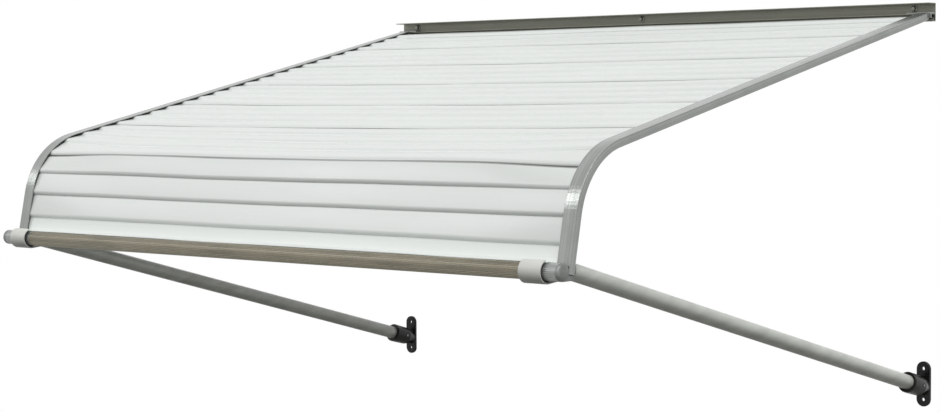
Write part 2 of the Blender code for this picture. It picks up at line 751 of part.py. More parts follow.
def set_screw_matrix(x):
    """Place on the socket's side, pointing at the arm's axis."""
    spot = arm_point(SET_SCREW_FROM_WALL)
    return aim_matrix((x + ARM_RADIUS + SEAT, spot.x, spot.y), (1.0, 0.0, 0.0))


def make_brackets():
    """Wall plates with a tapered socket for the arm."""
    along = (0.0, ARM_AXIS.x, ARM_AXIS.y)
    slant = 1.0 / math.cos(ARM_ANGLE)
    reach = SOCKET_REACH * slant
    root = PLATE_THICKNESS / 2 * slant
    shell = [
        (0.0, root),
        (SOCKET_ROOT_RADIUS, root),
        (SOCKET_ROOT_RADIUS, root + SOCKET_ROOT_LENGTH),
        (SOCKET_RADIUS - SOCKET_BEAD, SOCKET_TAPER_END),
        (SOCKET_RADIUS, SOCKET_BEAD_START),
        (SOCKET_RADIUS, reach - SOCKET_EDGE),
        (SOCKET_RADIUS - SOCKET_EDGE, reach),
        (0.0, reach),
    ]
    for side, word in ((-1, "left"), (1, "right")):
        x = side * ARM_SPREAD
        bracket = object_from(plate_bmesh(x), "wall_bracket_" + word, "black_casting")
        origin = (x, 0.0, -ARM_DROP_AT_WALL)
        socket = turned_bmesh(shell, ROUND_SEGMENTS)
        place = aim_matrix(origin, along)
        for vert in socket.verts:
            if vert.co.z < root + SEAT:
                behind = (place @ vert.co).y + PLATE_THICKNESS / 2
                vert.co.z += behind * slant
        boolean(bracket, cutter_from(socket, "socket_" + word, place), "UNION")
        bore = disc_bmesh(ARM_RADIUS + SEAT, reach, ROUND_SEGMENTS)
        lift = Matrix.Translation((0.0, 0.0, SOCKET_SEAT_DEPTH * slant))
        boolean(bracket, cutter_from(bore, "socket_bore_" + word, place @ lift), "DIFFERENCE")
        for end, height in (("top", 0.5), ("bottom", -0.5)):
            hole = disc_bmesh(PLATE_HOLE_RADIUS, 2 * PLATE_THICKNESS, SMALL_SEGMENTS)
            level = plate_middle() + height * PLATE_HOLE_SPACING
            spot = aim_matrix((x, -1.5 * PLATE_THICKNESS, level), (0.0, 1.0, 0.0))
            name = "plate_hole_%s_%s" % (end, word)
            boolean(bracket, cutter_from(hole, name, spot), "DIFFERENCE")
        tapped = disc_bmesh(SET_SCREW_RADIUS + SEAT, 2 * SOCKET_RADIUS, SMALL_SEGMENTS)
        spot = set_screw_matrix(x) @ Matrix.Translation((0.0, 0.0, -TAPPED_HOLE_INSET))
        boolean(bracket, cutter_from(tapped, "tapped_hole_" + word, spot), "DIFFERENCE")
        screw = disc_bmesh(SET_SCREW_RADIUS, SOCKET_RADIUS - ARM_RADIUS, SMALL_SEGMENTS)
        spot = set_screw_matrix(x) @ Matrix.Translation((0.0, 0.0, SEAT))
        object_from(screw, "set_screw_" + word, "zinc_screw", spot)


def make_clips():
    """Bent plates that lie on the header's shelf and reach into the rails' upper ends."""
    top = SEAT + CLIP_WALL
    shelf_tip = -HEADER_SHELF - SEAT
    face = shelf_tip - CLIP_WALL
    plate = [
        Vector((-HEADER_WALL - SEAT, SEAT)),
        Vector((-HEADER_WALL - SEAT, top)),
        Vector((face, top)),
        Vector((face, SEAT)),
    ]
    front = [
        Vector((face, top - CLIP_WALL / 2)),
        Vector((face, -CLIP_DROP)),
        Vector((shelf_tip, -CLIP_DROP)),
        Vector((shelf_tip, top - CLIP_WALL / 2)),
    ]
    high = RAIL_TOP - RAIL_WALL - SEAT
    low = RAIL_TOP - RAIL_DEPTH + RAIL_WALL + SEAT
    tuck = ROOF_START_OUT - HEADER_SHELF - 2 * SEAT
    leaf = [
        LINE.point(-tuck, high - CLIP_TIP_TOP),
        LINE.point(-tuck, high - CLIP_TIP_FOOT),
        LINE.point(SEAT, low + CLIP_TIP_TOP),
        LINE.point(CLIP_LEAF, low),
        LINE.point(CLIP_LEAF, high),
        LINE.point(SEAT, high),
    ]
    outer_end = HEADER_LENGTH / 2 - SEAT
    leaf_outer = RAIL_OUTER - RAIL_WALL - SEAT
    for side, word in ((-1, "left"), (1, "right")):
        bm = extruded_bmesh(plate, side * (outer_end - CLIP_WIDTH), side * outer_end)
        clip = object_from(bm, "rail_clip_" + word, "mill_aluminium")
        bm = extruded_bmesh(front, side * RAIL_INNER, side * outer_end)
        boolean(clip, cutter_from(bm, "clip_front_" + word), "UNION")
        web = extruded_bmesh(leaf, side * (leaf_outer - CLIP_WALL), side * leaf_outer)
        boolean(clip, cutter_from(web, "clip_leaf_" + word), "UNION")
        hole = disc_bmesh(RIVET_RADIUS + SEAT, 3 * CLIP_WALL, SMALL_SEGMENTS)
        spot = clip_rivet_place(side)
        place = Matrix.Translation(spot - Vector((0.0, 0.0, CLIP_WALL)))
        boolean(clip, cutter_from(hole, "clip_hole_" + word, place), "DIFFERENCE")
        over = top + SEAT
        under = -HEADER_WALL - SEAT
        profile = [
            (0.0, under - RIVET_HEAD_HEIGHT),
            (RIVET_HEAD_RADIUS, under - RIVET_HEAD_HEIGHT),
            (RIVET_HEAD_RADIUS, under),
            (RIVET_RADIUS, under),
            (RIVET_RADIUS, over),
            (RIVET_HEAD_RADIUS, over),
            (RIVET_CROWN_RADIUS, over + RIVET_HEAD_HEIGHT),
            (0.0, over + RIVET_HEAD_HEIGHT),
        ]
        bm = turned_bmesh(profile, SMALL_SEGMENTS)
        object_from(bm, "clip_rivet_" + word, "zinc_screw", Matrix.Translation(spot))


def main():
    clear_scene()
    make_header()
    make_header_screws()
    make_rails()
    make_panels()
    make_front_bar()
    make_bar_caps()
    make_clamps()
    make_castings()
    make_arms()
    make_brackets()
    make_clips()


main()
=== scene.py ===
"""Looks of a fixed aluminium door canopy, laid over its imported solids.

Lengths are metres in the part's own frame: the origin is on the wall at the middle of the header,
X runs along the wall, the canopy reaches out along -Y, and Z is up.
"""

import math

import bpy
from mathutils import Matrix, Vector


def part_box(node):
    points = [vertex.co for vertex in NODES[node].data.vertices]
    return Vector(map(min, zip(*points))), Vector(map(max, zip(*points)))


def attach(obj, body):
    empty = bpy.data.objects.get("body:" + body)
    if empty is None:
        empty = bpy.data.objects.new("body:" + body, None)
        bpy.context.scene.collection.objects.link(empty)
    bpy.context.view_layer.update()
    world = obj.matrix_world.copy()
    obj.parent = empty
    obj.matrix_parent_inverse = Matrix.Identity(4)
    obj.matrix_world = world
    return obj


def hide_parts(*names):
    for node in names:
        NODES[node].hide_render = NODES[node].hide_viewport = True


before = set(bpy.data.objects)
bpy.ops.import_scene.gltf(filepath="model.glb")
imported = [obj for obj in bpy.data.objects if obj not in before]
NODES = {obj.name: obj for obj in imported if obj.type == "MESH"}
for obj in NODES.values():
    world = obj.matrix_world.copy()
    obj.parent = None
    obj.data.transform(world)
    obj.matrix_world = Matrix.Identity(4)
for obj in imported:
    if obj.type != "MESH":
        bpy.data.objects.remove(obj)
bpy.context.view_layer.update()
SIDES = ("left", "right")
BODY = "root"

bl_info = {
    "name": "Door canopy looks",
    "version": (1, 0, 0),
    "blender": (4, 5, 0),
    "location": "3D View > Sidebar > Canopy",
    "description": "Gives the canopy's sheet, tube and cast parts their shapes and finishes",
    "category": "Object",
}

# The line that the rails follow, from their start at the header to the lower front edge
ROOF_START = Vector((0.0, -0.0158, -0.0030))
ROOF_ANGLE = math.radians(13.02)
BEND_ANGLE = math.radians(65.28)
BEND_RADIUS = 0.1287
SLOPE_LENGTH = 0.90627

# How far the support arms lean down towards the wall
ARM_ANGLE = math.radians(15.18)


def linear(code):
    """An sRGB hex colour as the linear red, green and blue that Blender works with."""
    values = [int(code[i : i + 2], 16) / 255 for i in (1, 3, 5)]
    return tuple(v / 12.92 if v <= 0.04045 else ((v + 0.055) / 1.055) ** 2.4 for v in values)


def rgba(colour, factor=1.0):
    """A colour as a socket takes it, made darker or lighter by a factor."""
    return (*(min(part * factor, 1.0) for part in colour), 1.0)


def along(turned):
    """Direction down the roof after the line has turned by an angle."""
    angle = ROOF_ANGLE + turned
    return Vector((0.0, -math.cos(angle), -math.sin(angle)))


def away(turned):
    """Direction square to the roof, out of the shelter."""
    angle = ROOF_ANGLE + turned
    return Vector((0.0, -math.sin(angle), math.cos(angle)))


BEND_CENTRE = ROOF_START + SLOPE_LENGTH * along(0.0) - BEND_RADIUS * away(0.0)
BEND_END = SLOPE_LENGTH + BEND_RADIUS * BEND_ANGLE
LEG_START = BEND_CENTRE + BEND_RADIUS * away(BEND_ANGLE)

# Joints of the panels along the line, and the height of the sheet just past a joint
PANEL_LENGTH = 0.1630
JOINT_BACK = 0.0020
LAST_JOINTS = (0.8130, 0.9794)
FLAT_END = 1.0982
TUCKED = -0.0021

# The sheet's ripple is a long wave and a weaker short one: turns along X in radians per metre, the
# long one's step from panel to panel, and the short one's turn per metre of travel
LONG_WAVE, LONG_STEP = 11.0, 1.7
SHORT_WAVE, SHORT_TURN, SHORT_SHARE = 23.0, 40.0, 0.6

# The front bar's coat: its middle along X, how far it reaches either way, and its soft end
COAT_MIDDLE, COAT_REACH, COAT_END = 0.0125, 0.5715, 0.0020

# Points this near are joined, and faces that turn less than this are made one
WELD = 1e-6
FLAT = math.radians(0.5)

# The floor looks pale, but little light comes back up off it. It fades between these shares of
# its reach.
FLOOR_SEEN, FLOOR_BOUNCE = "#C8C8C4", "#50504D"
FADE_START, FADE_END = 0.18, 0.95

# Where the lamps shine to, and how wide they look from the canopy
KEY_AIM, KEY_WIDTH = (-0.35, 0.42, -0.84), math.radians(40.0)
FILL_AIM, FILL_WIDTH = (0.70, 0.55, -0.46), math.radians(15.0)

# Kinds of shader node that several finishes use
NOISE = "ShaderNodeTexNoise"
VORONOI = "ShaderNodeTexVoronoi"
MAPPING = "ShaderNodeMapping"
RANGE = "ShaderNodeMapRange"
MIX = "ShaderNodeMix"
MATH = "ShaderNodeMath"
VECTOR_MATH = "ShaderNodeVectorMath"
SEPARATE = "ShaderNodeSeparateXYZ"
COMBINE = "ShaderNodeCombineXYZ"

# Sockets of a colour Mix node, which has others of the same names
SHARE, UNDER, OVER, MIXED = 0, 6, 7, 2


def on_line(spot):
    """Travel down the line to a point, and the point's height over the line."""
    flat = Vector((0.0, spot[1], spot[2]))
    travel = (flat - ROOF_START).dot(along(0.0))
    if travel <= SLOPE_LENGTH:
        return travel, (flat - ROOF_START).dot(away(0.0))
    past = (flat - LEG_START).dot(along(BEND_ANGLE))
    if past >= 0.0:
        return BEND_END + past, (flat - LEG_START).dot(away(BEND_ANGLE))
    arm = flat - BEND_CENTRE
    turned = math.atan2(arm.dot(along(0.0)), arm.dot(away(0.0)))
    return SLOPE_LENGTH + BEND_RADIUS * turned, arm.length - BEND_RADIUS


def off_line(travel, height):
    """The point at a height over the line after some travel."""
    if travel <= SLOPE_LENGTH:
        return ROOF_START + travel * along(0.0) + height * away(0.0)
    if travel >= BEND_END:
        return LEG_START + (travel - BEND_END) * along(BEND_ANGLE) + height * away(BEND_ANGLE)
    turned = (travel - SLOPE_LENGTH) / BEND_RADIUS
    return BEND_CENTRE + (BEND_RADIUS + height) * away(turned)


def eased(share):
    """0 to 1 with a soft start and end."""
    share = min(max(share, 0.0), 1.0)
    return share * share * (3.0 - 2.0 * share)


class CanopyFinishSettings(bpy.types.PropertyGroup):
    """Colours of the finishes."""

    enamel: bpy.props.FloatVectorProperty(
        name="Slat enamel", description="Baked off-white coat of the slats",
        subtype="COLOR", size=3, min=0.0, max=1.0, default=linear("#E1E5E2"),
    )
    mill: bpy.props.FloatVectorProperty(
        name="Rail aluminium", description="Bare aluminium of the rails and clips",
        subtype="COLOR", size=3, min=0.0, max=1.0, default=linear("#9C9F9C"),
    )
    tube: bpy.props.FloatVectorProperty(
        name="Arm aluminium", description="Satin aluminium of the support arms",
        subtype="COLOR", size=3, min=0.0, max=1.0, default=linear("#D4D7D0"),
    )
    bronze: bpy.props.FloatVectorProperty(
        name="Header anodising", description="Dark grey-bronze coat of the header",
        subtype="COLOR", size=3, min=0.0, max=1.0, default=linear("#7C7D73"),
    )
    bar_bronze: bpy.props.FloatVectorProperty(
        name="Bar anodising", description="Lighter, browner bronze coat of the front bar",
        subtype="COLOR", size=3, min=0.0, max=1.0, default=linear("#807B6C"),
    )
    vinyl: bpy.props.FloatVectorProperty(
        name="Clamp vinyl", description="Moulded off-white plastic of the clamps",
        subtype="COLOR", size=3, min=0.0, max=1.0, default=linear("#D6D7D2"),
    )
    casting: bpy.props.FloatVectorProperty(
        name="Grey casting", description="Tumbled aluminium of the plugs and corner castings",
        subtype="COLOR", size=3, min=0.0, max=1.0, default=linear("#808380"),
    )
    black: bpy.props.FloatVectorProperty(
        name="Black coat", description="Semi-gloss coat of the wall brackets",
        subtype="COLOR", size=3, min=0.0, max=1.0, default=linear("#131412"),
    )
    zinc: bpy.props.FloatVectorProperty(
        name="Zinc plating", description="Plated steel of the screws and rivets",
        subtype="COLOR", size=3, min=0.0, max=1.0, default=linear("#7C7C76"),
    )
    rubber: bpy.props.FloatVectorProperty(
        name="Liner rubber", description="Black rubber inside the clamps",
        subtype="COLOR", size=3, min=0.0, max=1.0, default=linear("#1B1B1A"),
    )


class CanopySheetSettings(bpy.types.PropertyGroup):
    """How far the thin slats stray from a true plane."""

    sag: bpy.props.FloatProperty(
        name="Sag", description="Drop of the slope at the middle of its width",
        default=0.0042, min=0.0, max=0.02, unit="LENGTH",
    )
    droop: bpy.props.FloatProperty(
        name="Droop", description="Turn of the sixth panel below the slope, away from the rails",
        default=math.radians(3.6), min=0.0, max=0.3, subtype="ANGLE",
    )
    hold: bpy.props.FloatProperty(
        name="Hold", description="How far from a rail the front follows its round bend",
        default=0.2300, min=0.01, max=0.5, unit="LENGTH",
    )
    front_bow: bpy.props.FloatProperty(
        name="Front bow", description="Bow of the flat front between its joint and its foot",
        default=0.0002, min=0.0, max=0.02, unit="LENGTH",
    )
    ripple: bpy.props.FloatProperty(
        name="Ripple", description="Height of the shallow waves left by roll forming",
        default=0.00030, min=0.0, max=0.003, unit="LENGTH",
    )
    columns: bpy.props.IntProperty(
        name="Columns", description="Number of lengths that each slat is divided into",
        default=36, min=8, max=80,
    )


class CanopyEdgeSettings(bpy.types.PropertyGroup):
    """Rounding of moulded and cast edges."""

    clamp_edge: bpy.props.FloatProperty(
        name="Clamp edge", description="Radius along the edges of the vinyl clamps",
        default=0.0006, min=0.0001, max=0.001, unit="LENGTH",
    )
    casting_grid: bpy.props.FloatProperty(
        name="Casting grid", description="Size of the grid that the cast shapes are remade on",
        default=0.0006, min=0.0003, max=0.002, unit="LENGTH",
    )


class CanopyStageSettings(bpy.types.PropertyGroup):
    """Camera, lamps and floor."""

    eye: bpy.props.FloatVectorProperty(
        name="Camera place", description="Where the camera stands",
        subtype="TRANSLATION", size=3, unit="LENGTH", default=(2.4093, -3.2361, -0.1514),
    )
    azimuth: bpy.props.FloatProperty(
        name="Azimuth", description="Turn of the camera to the left of the wall's square",
        subtype="ANGLE", default=math.radians(41.4587),
    )
    dip: bpy.props.FloatProperty(
        name="Dip", description="How far the camera looks down",
        subtype="ANGLE", default=math.radians(2.8687),
    )
    roll: bpy.props.FloatProperty(
        name="Roll", description="Turn of the picture about the line of sight",
        subtype="ANGLE", default=math.radians(-0.2902),
    )
    focal: bpy.props.FloatProperty(
        name="Focal length", description="Focal length in millimetres on a 36 mm sensor",
        subtype="DISTANCE_CAMERA", default=78.89, min=10.0, max=300.0,
    )
    floor_depth: bpy.props.FloatProperty(
        name="Floor depth", description="How far the floor lies under the origin",
        default=2.05, min=0.75, max=4.0, unit="LENGTH",
    )
    floor_reach: bpy.props.FloatProperty(
        name="Floor reach", description="Radius of the round floor",
        default=7.5, min=2.0, max=20.0, unit="LENGTH",
    )
    key: bpy.props.FloatProperty(
        name="Key light", description="Share of full light from the large lamp above at the right",
        subtype="FACTOR", default=0.71, min=0.0, max=2.0,
    )
    fill: bpy.props.FloatProperty(
        name="Fill light", description="Share of full light from the low lamp at the left",
        subtype="FACTOR", default=0.10, min=0.0, max=2.0,
    )
    sky: bpy.props.FloatProperty(
        name="Room light", description="Level of the even light from all round",
        subtype="FACTOR", default=0.23, min=0.0, max=2.0,
    )


def node(tree, kind, links=None, **settings):
    """Adds one shader node with its settings, joins or fills its inputs and gives its outputs."""
    added = tree.nodes.new(kind)
    for name, value in settings.items():
        setattr(added, name, value)
    for name, source in (links or {}).items():
        if isinstance(source, bpy.types.NodeSocket):
            tree.links.new(source, added.inputs[name])
        else:
            added.inputs[name].default_value = source
    return added.outputs


def new_finish(name, colour, metallic, roughness):
    """A material with its shader, and object coordinates to draw its patterns on."""
    material = bpy.data.materials.new(name)
    material.use_nodes = True
    material.diffuse_color = rgba(colour)
    tree = material.node_tree
    shader = tree.nodes["Principled BSDF"]
    shader.inputs["Base Color"].default_value = rgba(colour)
    shader.inputs["Metallic"].default_value = metallic
    shader.inputs["Roughness"].default_value = roughness
    coords = node(tree, "ShaderNodeTexCoord")["Object"]
    return material, tree, shader, coords


def layered(tree, base, layers):
    """A colour with layers of other colours over it.

    Each layer is its pattern, the pattern's values where the layer starts and where it is full,
    how much of what lies under it the full layer hides, and its colour.
    """
    for pattern, start, full, cover, colour in layers:
        share = node(
            tree, RANGE, {"Value": pattern, "From Min": start, "From Max": full, "To Max": cover}
        )[0]
        base = node(
            tree, MIX, {SHARE: share, UNDER: base, OVER: colour}, data_type="RGBA"
        )[MIXED]
    return base


def edge_wear(tree, coords, radius, least):
    """1 along worn edges and 0 elsewhere, broken up by chips about 2 mm long."""
    rounded = node(tree, "ShaderNodeBevel", {"Radius": radius}, samples=6)[0]
    flat = node(tree, "ShaderNodeNewGeometry")["Normal"]
    likeness = node(tree, VECTOR_MATH, {0: rounded, 1: flat}, operation="DOT_PRODUCT")["Value"]
    edge = node(tree, RANGE, {"Value": likeness, "From Min": 0.999, "From Max": least})[0]
    broken = node(tree, NOISE, {"Vector": coords, "Scale": 420.0, "Detail": 3.0})["Fac"]
    chipped = node(tree, RANGE, {"Value": broken, "From Min": 0.42, "From Max": 0.62})[0]
    return node(tree, MATH, {0: edge, 1: chipped}, operation="MULTIPLY")[0]


def coat(tree, shader, base, roughness, bumps):
    """Joins a finish's colour, roughness and bumps to its shader.

    The roughness is its pattern, two values of the pattern and the roughness at each of them. A
    bump is its pattern, its height in metres and its strength.
    """
    tree.links.new(base, shader.inputs["Base Color"])
    pattern, start, full, at_start, at_full = roughness
    gloss = node(
        tree, RANGE,
        {"Value": pattern, "From Min": start, "From Max": full, "To Min": at_start,
         "To Max": at_full},
    )[0]
    tree.links.new(gloss, shader.inputs["Roughness"])
    below = {}
    for pattern, height, strength in bumps:
        links = {"Height": pattern, "Distance": height, "Strength": strength, **below}
        below = {"Normal": node(tree, "ShaderNodeBump", links)[0]}
    tree.links.new(below["Normal"], shader.inputs["Normal"])


def enamelled_sheet(colours):
    """Baked enamel on roll-formed aluminium: satin, cool off-white, with the rollers' long marks.

    The coat is smooth to the eye, a little uneven in gloss, and grey dust sits in long streaks.
    """
    colour = colours.enamel
    material, tree, shader, coords = new_finish("baked_enamel_sheet", colour, 0.0, 0.36)
    shader.inputs["Coat Weight"].default_value = 0.18
    shader.inputs["Coat Roughness"].default_value = 0.22
    # Roller marks lie 3 mm apart, uneven gloss 60 mm and dust 11 mm, all drawn out along X
    across = node(tree, MAPPING, {"Vector": coords, "Scale": (1.2, 330.0, 330.0)})[0]
    marks = node(tree, NOISE, {"Vector": across, "Scale": 1.0, "Detail": 2.0})["Fac"]
    across = node(tree, MAPPING, {"Vector": coords, "Scale": (3.0, 16.0, 16.0)})[0]
    cloud = node(tree, NOISE, {"Vector": across, "Scale": 1.0, "Detail": 4.0})["Fac"]
    across = node(tree, MAPPING, {"Vector": coords, "Scale": (14.0, 90.0, 90.0)})[0]
    dust = node(
        tree, NOISE, {"Vector": across, "Scale": 1.0, "Detail": 6.0, "Roughness": 0.6}
    )["Fac"]
    # The coat's orange peel is about 2 mm from hump to hump
    peel = node(tree, NOISE, {"Vector": coords, "Scale": 480.0, "Detail": 1.0})["Fac"]
    sheet = node(tree, "ShaderNodeUVMap", uv_map="sheet")["UV"]
    down = node(tree, SEPARATE, {0: sheet})["Y"]
    shelter = node(tree, "ShaderNodeAmbientOcclusion", {"Distance": 0.007}, samples=8)["AO"]
    base = layered(tree, rgba(colour, 0.97), (
        (cloud, 0.30, 0.70, 1.0, rgba(colour, 1.03)),
        (dust, 0.56, 0.80, 0.16, rgba(linear("#C9CBC6"))),
        # Painted shade in each joint: a dark line over the first 4 mm of the lower panel, where
        # its neighbour's edge shades it
        (down, 0.0052, 0.0036, 0.78, rgba(linear("#6C6F6A"))),
        # Painted shade in the folds and joints: darker within a few millimetres of the fold, where
        # the sheet shades itself
        (shelter, 0.62, 0.15, 0.85, rgba(linear("#7F827C"))),
    ))
    coat(
        tree, shader, base, (cloud, 0.30, 0.70, 0.30, 0.44),
        ((cloud, 0.0012, 0.25), (marks, 0.00012, 0.35), (peel, 0.00004, 0.30)),
    )
    return material


def rail_line(tree, coords):
    """Where a point lies by a rail, for patterns that follow the rail round its bend.

    It is the point's distance from the bend's centre line or from the line's continuation, its
    angle round the bend, and how far it is past the bend's end.
    """
    offset = node(
        tree, VECTOR_MATH, {0: coords, 1: tuple(BEND_CENTRE)}, operation="SUBTRACT"
    )[0]
    values = {}
    for name, direction in (("rise", away(0.0)), ("down", along(0.0)), ("leg", along(BEND_ANGLE))):
        values[name] = node(
            tree, VECTOR_MATH, {0: offset, 1: tuple(direction)}, operation="DOT_PRODUCT"
        )["Value"]
    # Each step is its name, what it does, and the two values or earlier steps that it works on
    steps = (
        ("past_slope", "MAXIMUM", "down", 0.0),
        ("past_bend", "MAXIMUM", "leg", 0.0),
        ("rise_square", "MULTIPLY", "rise", "rise"),
        ("slope_square", "MULTIPLY", "past_slope", "past_slope"),
        ("bend_square", "MULTIPLY", "past_bend", "past_bend"),
        ("both", "ADD", "rise_square", "slope_square"),
        ("square", "SUBTRACT", "both", "bend_square"),
        ("positive", "MAXIMUM", "square", 0.0),
        ("height", "SQRT", "positive", 0.0),
        ("angle", "ARCTAN2", "past_slope", "rise"),
    )
    for name, operation, first, second in steps:
        links = {0: values.get(first, first), 1: values.get(second, second)}
        values[name] = node(tree, MATH, links, operation=operation)[0]
    return values["height"], values["angle"], values["past_bend"]


def mill_rail(colours):
    """Mill-finish aluminium channel: bare metal with lengthwise draw lines.

    The lines follow the channel round its bend, where fine cross wrinkles catch the light.
    """
    colour = colours.mill
    material, tree, shader, coords = new_finish("mill_aluminium_rail", colour, 0.65, 0.24)
    shader.inputs["Anisotropic"].default_value = 0.35
    height, angle, past_bend = rail_line(tree, coords)
    sideways = node(tree, SEPARATE, {0: coords})["X"]
    # Draw lines lie 0.8 and 3 mm apart, coarser than real ones so that they show
    section = node(tree, COMBINE, {"X": sideways, "Y": height})[0]
    lines = node(tree, NOISE, {"Vector": section, "Scale": 1250.0, "Detail": 3.0})["Fac"]
    broad = node(tree, NOISE, {"Vector": section, "Scale": 330.0, "Detail": 2.0})["Fac"]
    # Handling stains are about 40 mm long
    cloud = node(tree, NOISE, {"Vector": coords, "Scale": 26.0, "Detail": 5.0})["Fac"]
    # Wrinkles lie 5 mm apart round the bend and fade at its two ends
    turn = node(tree, COMBINE, {"X": angle, "Y": sideways})[0]
    turn = node(tree, MAPPING, {"Vector": turn, "Scale": (26.0, 30.0, 1.0)})[0]
    folds = node(tree, NOISE, {"Vector": turn, "Scale": 1.0, "Detail": 2.0})["Fac"]
    for place, start, full in ((angle, 0.02, 0.25), (past_bend, 0.02, 0.0)):
        share = node(tree, RANGE, {"Value": place, "From Min": start, "From Max": full})[0]
        folds = node(tree, MATH, {0: folds, 1: share}, operation="MULTIPLY")[0]
    base = layered(tree, rgba(colour, 0.84), (
        (broad, 0.30, 0.70, 1.0, rgba(colour, 1.16)),
        (cloud, 0.45, 0.75, 0.35, rgba(linear("#7F827F"))),
        (edge_wear(tree, coords, 0.0009, 0.90), 0.0, 1.0, 0.6, rgba(linear("#D2D3D1"))),
    ))
    coat(
        tree, shader, base, (lines, 0.30, 0.70, 0.19, 0.31),
        ((folds, 0.0010, 0.08), (lines, 0.00010, 0.22), (broad, 0.00018, 0.12)),
    )
    return material


def satin_tube(colours):
    """Satin aluminium tube of the arms: drawn, with soft lines along its length."""
    colour = colours.tube
    material, tree, shader, coords = new_finish("satin_aluminium_tube", colour, 0.10, 0.38)
    shader.inputs["Specular IOR Level"].default_value = 0.35
    # Draw lines lie about 1 mm apart round the tube and run for decimetres, with soft clouds of
    # 17 by 110 mm under them
    level = node(tree, MAPPING, {"Vector": coords, "Rotation": (-ARM_ANGLE, 0.0, 0.0)})[0]
    drawn = node(tree, MAPPING, {"Vector": level, "Scale": (900.0, 4.0, 900.0)})[0]
    lines = node(tree, NOISE, {"Vector": drawn, "Scale": 1.0, "Detail": 3.0})["Fac"]
    drawn = node(tree, MAPPING, {"Vector": level, "Scale": (60.0, 9.0, 60.0)})[0]
    cloud = node(tree, NOISE, {"Vector": drawn, "Scale": 1.0, "Detail": 5.0})["Fac"]
    # Specks are about 1.4 mm, coarser than real ones so that they show
    specks = node(tree, NOISE, {"Vector": coords, "Scale": 700.0, "Detail": 4.0})["Fac"]
    base = layered(tree, rgba(colour, 0.88), (
        (cloud, 0.30, 0.70, 1.0, rgba(colour, 1.12)),
        (specks, 0.60, 0.72, 0.5, rgba(linear("#7E807A"))),
    ))
    coat(
        tree, shader, base, (lines, 0.30, 0.70, 0.30, 0.48),
        ((lines, 0.00010, 0.45), (cloud, 0.0006, 0.15)),
    )
    return material


def bronze_anodised(colours):
    """Brown-grey anodised extrusion: fine die lines, worn bare along its sharp edges.

    The header is darker than the front bar. The anodising stops short of the bar's ends, which
    stay bare grey out in front of the rails.
    """
    colour, bar_colour = colours.bronze, colours.bar_bronze
    material, tree, shader, coords = new_finish("bronze_anodised_extrusion", colour, 0.85, 0.42)
    # Die lines lie 1.1 mm apart along X, over patches of 17 by 110 mm
    across = node(tree, MAPPING, {"Vector": coords, "Scale": (1.5, 900.0, 900.0)})[0]
    lines = node(tree, NOISE, {"Vector": across, "Scale": 1.0, "Detail": 3.0})["Fac"]
    across = node(tree, MAPPING, {"Vector": coords, "Scale": (9.0, 60.0, 60.0)})[0]
    cloud = node(tree, NOISE, {"Vector": across, "Scale": 1.0, "Detail": 5.0})["Fac"]
    # The bar lies more than 0.90 m out from the wall, and the header at the wall
    apart = node(tree, SEPARATE, {0: coords})
    in_front = node(tree, RANGE, {"Value": apart["Y"], "From Min": -0.88, "From Max": -0.90})[0]
    outside = node(tree, MATH, {0: apart["X"], 1: COAT_MIDDLE}, operation="SUBTRACT")[0]
    outside = node(tree, MATH, {0: outside}, operation="ABSOLUTE")[0]
    bare = node(
        tree, RANGE,
        {"Value": outside, "From Min": COAT_REACH, "From Max": COAT_REACH + COAT_END},
    )[0]
    bare = node(tree, MATH, {0: bare, 1: in_front}, operation="MULTIPLY")[0]
    bar = layered(tree, rgba(bar_colour, 0.78), (
        (cloud, 0.30, 0.70, 1.0, rgba(bar_colour, 1.22)),
    ))
    base = layered(tree, rgba(colour, 0.78), (
        (cloud, 0.30, 0.70, 1.0, rgba(colour, 1.22)),
        (in_front, 0.0, 1.0, 1.0, bar),
        (lines, 0.50, 0.75, 0.35, rgba(linear("#9A978B"))),
        (edge_wear(tree, coords, 0.0006, 0.90), 0.0, 1.0, 0.7, rgba(linear("#B9B8B0"))),
        (bare, 0.0, 1.0, 1.0, rgba(linear("#9FA2A0"))),
    ))
    coat(tree, shader, base, (cloud, 0.30, 0.70, 0.36, 0.52), ((lines, 0.00010, 0.40),))
    return material


def moulded_vinyl(colours):
    """Off-white injection-moulded vinyl: soft sheen, a faint grain and slight handling marks."""
    colour = colours.vinyl
    material, tree, shader, coords = new_finish("moulded_vinyl", colour, 0.0, 0.42)
    shader.inputs["Subsurface Weight"].default_value = 0.08
    shader.inputs["Subsurface Radius"].default_value = (0.002, 0.0018, 0.0015)
    # The mould's grain is 0.7 mm, coarser than real so that it shows, and the marks are 11 mm
    grain = node(tree, NOISE, {"Vector": coords, "Scale": 1400.0, "Detail": 2.0})["Fac"]
    cloud = node(tree, NOISE, {"Vector": coords, "Scale": 90.0, "Detail": 5.0})["Fac"]
    base = layered(tree, rgba(colour, 0.975), (
        (cloud, 0.30, 0.70, 1.0, rgba(colour, 1.025)),
        (cloud, 0.60, 0.75, 0.25, rgba(linear("#C4C3BB"))),
    ))
    coat(
        tree, shader, base, (cloud, 0.35, 0.65, 0.38, 0.50),
        ((grain, 0.00004, 0.35), (cloud, 0.0004, 0.20)),
    )
    return material


